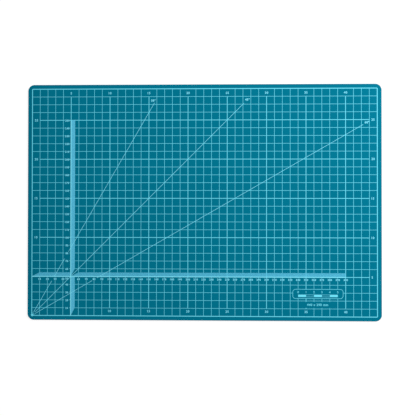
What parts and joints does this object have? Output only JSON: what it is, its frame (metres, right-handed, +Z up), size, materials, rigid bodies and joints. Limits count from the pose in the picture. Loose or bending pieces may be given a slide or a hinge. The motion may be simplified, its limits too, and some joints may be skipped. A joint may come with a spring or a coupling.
{
  "type": "cutting mat",
  "caption": "Flat laminated craft cutting mat with rounded corners, a printed centimetre grid, two crossing millimetre scales and angle lines on its top face.",
  "frame": {"origin": "centre of the underside, on the surface that the mat lies on", "axes": "+X along the long edge, towards the end of the long scale; +Y along the short edge, away from the long scale; +Z up, out of the printed face"},
  "size_m": [0.451, 0.301, 0.0031],
  "materials": {
    "cutting_sheet": "soft teal vinyl with a fine matt grain",
    "buffer_sheet": "dark teal vinyl, seen only as a thin line on the cut edge",
    "core_sheet": "pale rigid vinyl, seen only on the cut edge",
    "ink": "thin light cyan screen-printing ink"
  },
  "bodies": {
    "root": {"bottom_cutting_sheet": "cutting_sheet", "lower_buffer_sheet": "buffer_sheet", "rigid_core_sheet": "core_sheet", "upper_buffer_sheet": "buffer_sheet", "top_cutting_sheet": "cutting_sheet", "grid_border": "ink", "upright_grid_lines": "ink", "level_grid_lines": "ink", "long_scale": "ink", "short_scale": "ink", "angle_line_30": "ink", "angle_line_45": "ink", "angle_line_60": "ink", "label_frame": "ink"}
  },
  "joints": []
}
